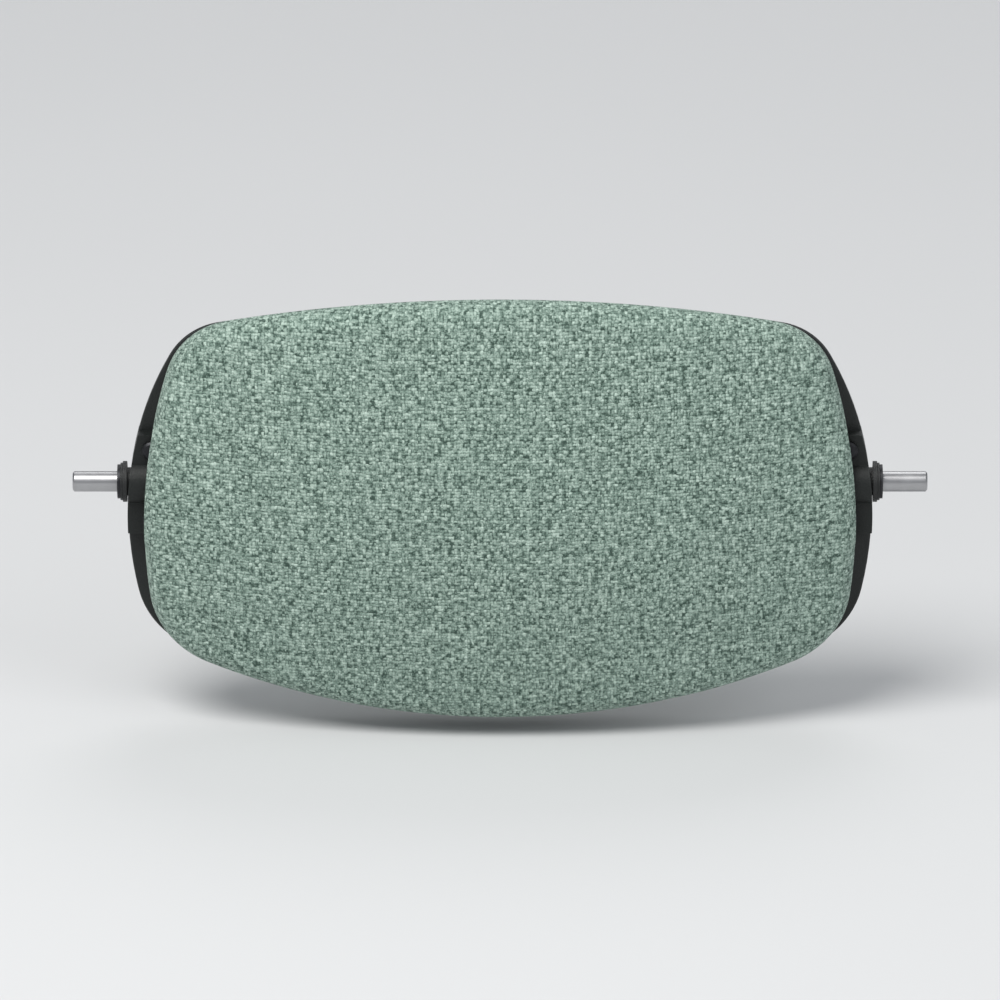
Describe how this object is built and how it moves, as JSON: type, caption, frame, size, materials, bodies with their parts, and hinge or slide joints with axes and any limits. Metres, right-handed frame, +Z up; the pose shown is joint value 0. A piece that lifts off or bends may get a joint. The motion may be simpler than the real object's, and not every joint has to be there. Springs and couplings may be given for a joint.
{
  "type": "lumbar support cushion",
  "caption": "Rounded, bowed fabric pad for an office chair's lower back, tilting on a bent steel rod whose ends leave at both sides.",
  "frame": {"origin": "middle of the whole cushion's box at rest, the pad upright", "axes": "+X along the tilt axis, to the right seen from behind the chair; +Y toward the sitter; +Z up"},
  "size_m": [0.25, 0.0479, 0.1264],
  "materials": {
    "woven_fabric": "heathered sage-green plain weave with slubs",
    "foam": null,
    "black_nylon": "fine-textured glass-filled nylon",
    "acetal": "smooth black acetal",
    "spring_steel": "drawn spring steel",
    "dark_steel": "black-oxide steel",
    "zinc_steel": "zinc-plated steel",
    "rubber": "matt moulded rubber"
  },
  "bodies": {
    "support": {"support_rod": "spring_steel", "spring_saddle": "acetal", "retaining_clip_left": "dark_steel", "retaining_clip_right": "dark_steel", "thrust_washer_left": "acetal", "thrust_washer_right": "acetal"},
    "cushion": {"core_frame": "black_nylon", "bush_left": "acetal", "bush_right": "acetal", "bearing_cap_left": "black_nylon", "bearing_cap_right": "black_nylon", "cap_screws": "dark_steel", "rear_board": "black_nylon", "rear_foam": "foam", "rear_cover": "woven_fabric", "front_board": "black_nylon", "front_foam": "foam", "front_cover": "woven_fabric", "centring_spring_upper": "spring_steel", "centring_spring_lower": "spring_steel", "stop_buffers": "rubber", "rear_board_screws": "zinc_steel", "rear_cover_staples": "zinc_steel", "front_cover_staples": "zinc_steel"}
  },
  "joints": [
    {"name": "pad_tilt", "type": "hinge", "parent": "support", "child": "cushion", "pos_m": [0, 0.008, 0.00325], "axis": [1, 0, 0], "range_deg": [-12, 12], "stiffness_Nm_per_rad": 1.8, "deforming": ["centring_spring_upper", "centring_spring_lower"]}
  ]
}
